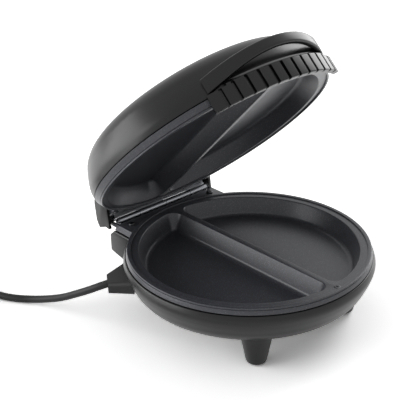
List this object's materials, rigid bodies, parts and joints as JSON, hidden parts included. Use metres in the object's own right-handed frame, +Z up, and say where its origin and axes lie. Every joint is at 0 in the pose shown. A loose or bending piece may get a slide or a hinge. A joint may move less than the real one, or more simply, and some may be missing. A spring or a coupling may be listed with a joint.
{
  "type": "electric omelette maker",
  "caption": "Round countertop omelette maker with a hinged domed lid, divided non-stick plates, ribbed front grip, arched handle, feet and mains cord.",
  "frame": {"origin": "on the table under the centre of the lower cooking plate, level with the undersides of the foot pads", "axes": "+Z up, -Y towards the user and the grip, +Y towards the hinge, +X to the right seen from the front"},
  "size_m": [0.3723, 0.3929, 0.266],
  "materials": {
    "shell_black": "semi-gloss black moulding",
    "grip_black": "satin black moulding",
    "plate_nonstick": "dark speckled non-stick coating on cast aluminium",
    "hinge_steel": "satin",
    "screw_steel": "satin",
    "element_sheath": "dull",
    "reflector_aluminium": "bright sheet",
    "thermostat_steel": "plated",
    "terminal_plastic": "moulded",
    "lead_sleeve": "matt sleeve",
    "cord_black": "matt",
    "pad_rubber": "matt",
    "pin_brass": "bright",
    "lens_red": "translucent",
    "lens_green": "translucent",
    "lamp_glass": "clear"
  },
  "bodies": {
    "base": {"base_shell": "shell_black", "foot_pads": "pad_rubber", "lower_cooking_plate": "plate_nonstick", "lower_plate_screws": "screw_steel", "lower_heating_element": "element_sheath", "lower_heat_reflector": "reflector_aluminium", "thermostat": "thermostat_steel", "thermal_fuse": "thermostat_steel", "terminal_block": "terminal_plastic", "internal_leads": "lead_sleeve", "cord_clamp": "terminal_plastic", "strain_relief": "cord_black", "cord": "cord_black", "cord_coil": "cord_black", "plug_body": "cord_black", "plug_pins": "pin_brass", "hinge_pin": "hinge_steel", "lower_hinge_leaf": "hinge_steel"},
    "lid": {"lid_shell": "shell_black", "upper_cooking_plate": "plate_nonstick", "upper_plate_screws": "screw_steel", "upper_heating_element": "element_sheath", "upper_heat_reflector": "reflector_aluminium", "upper_hinge_leaf": "hinge_steel", "handle_band": "grip_black", "ribbed_grip": "grip_black", "handle_screws": "screw_steel", "power_light_lens": "lens_red", "ready_light_lens": "lens_green", "indicator_lamps": "lamp_glass"}
  },
  "joints": [
    {"name": "lid_hinge", "type": "hinge", "parent": "base", "child": "lid", "pos_m": [0, 0.12, 0.0652], "axis": [-1, 0, 0], "range_deg": [-45.3, 44.7]}
  ]
}
